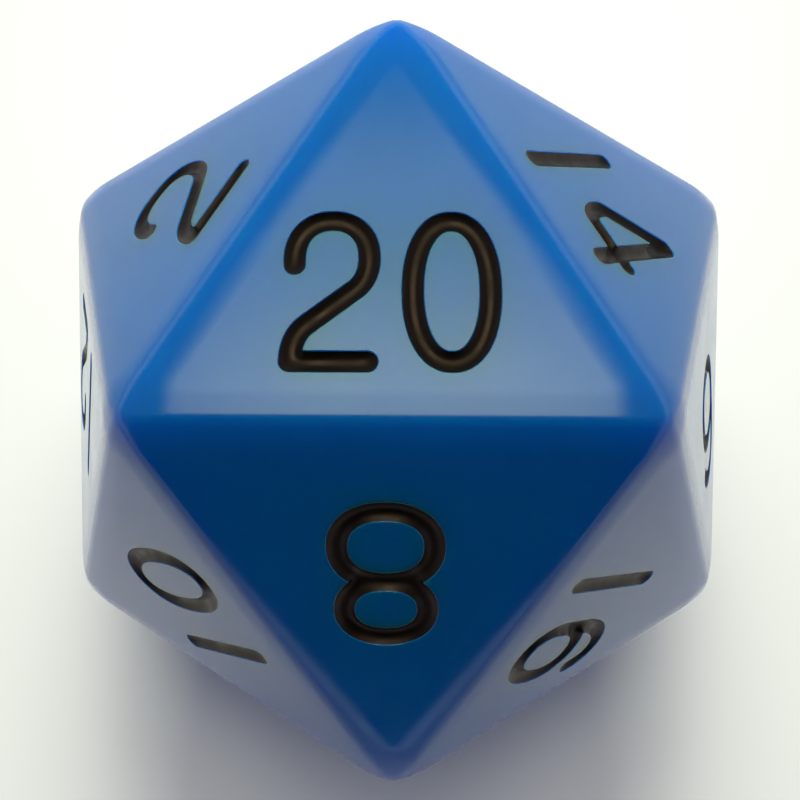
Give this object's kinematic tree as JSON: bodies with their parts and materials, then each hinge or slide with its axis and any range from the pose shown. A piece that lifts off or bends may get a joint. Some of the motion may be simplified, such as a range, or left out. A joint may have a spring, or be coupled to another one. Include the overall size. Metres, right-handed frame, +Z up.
{
  "type": "polyhedral die",
  "caption": "Solid icosahedral gaming die of translucent plastic with rounded edges and an engraved, ink-filled numeral on every face.",
  "frame": {"origin": "middle of the face the die rests on, which carries the numeral 1", "axes": "+Z up through the face with the numeral 20, +Y towards the top of that numeral, +X to its right"},
  "size_m": [0.037, 0.042, 0.035],
  "materials": {
    "blue_plastic": "polished translucent blue resin",
    "numeral_ink": "set black-brown ink with a soft sheen"
  },
  "bodies": {
    "root": {"die_body": "blue_plastic", "numeral_1_ink": "numeral_ink", "numeral_2_ink": "numeral_ink", "numeral_3_ink": "numeral_ink", "numeral_4_ink": "numeral_ink", "numeral_5_ink": "numeral_ink", "numeral_6_ink": "numeral_ink", "numeral_7_ink": "numeral_ink", "numeral_8_ink": "numeral_ink", "numeral_9_ink": "numeral_ink", "numeral_10_tens_ink": "numeral_ink", "numeral_10_units_ink": "numeral_ink", "numeral_11_tens_ink": "numeral_ink", "numeral_11_units_ink": "numeral_ink", "numeral_12_tens_ink": "numeral_ink", "numeral_12_units_ink": "numeral_ink", "numeral_13_tens_ink": "numeral_ink", "numeral_13_units_ink": "numeral_ink", "numeral_14_tens_ink": "numeral_ink", "numeral_14_units_ink": "numeral_ink", "numeral_15_tens_ink": "numeral_ink", "numeral_15_units_ink": "numeral_ink", "numeral_16_tens_ink": "numeral_ink", "numeral_16_units_ink": "numeral_ink", "numeral_17_tens_ink": "numeral_ink", "numeral_17_units_ink": "numeral_ink", "numeral_18_tens_ink": "numeral_ink", "numeral_18_units_ink": "numeral_ink", "numeral_19_tens_ink": "numeral_ink", "numeral_19_units_ink": "numeral_ink", "numeral_20_tens_ink": "numeral_ink", "numeral_20_units_ink": "numeral_ink"}
  },
  "joints": []
}
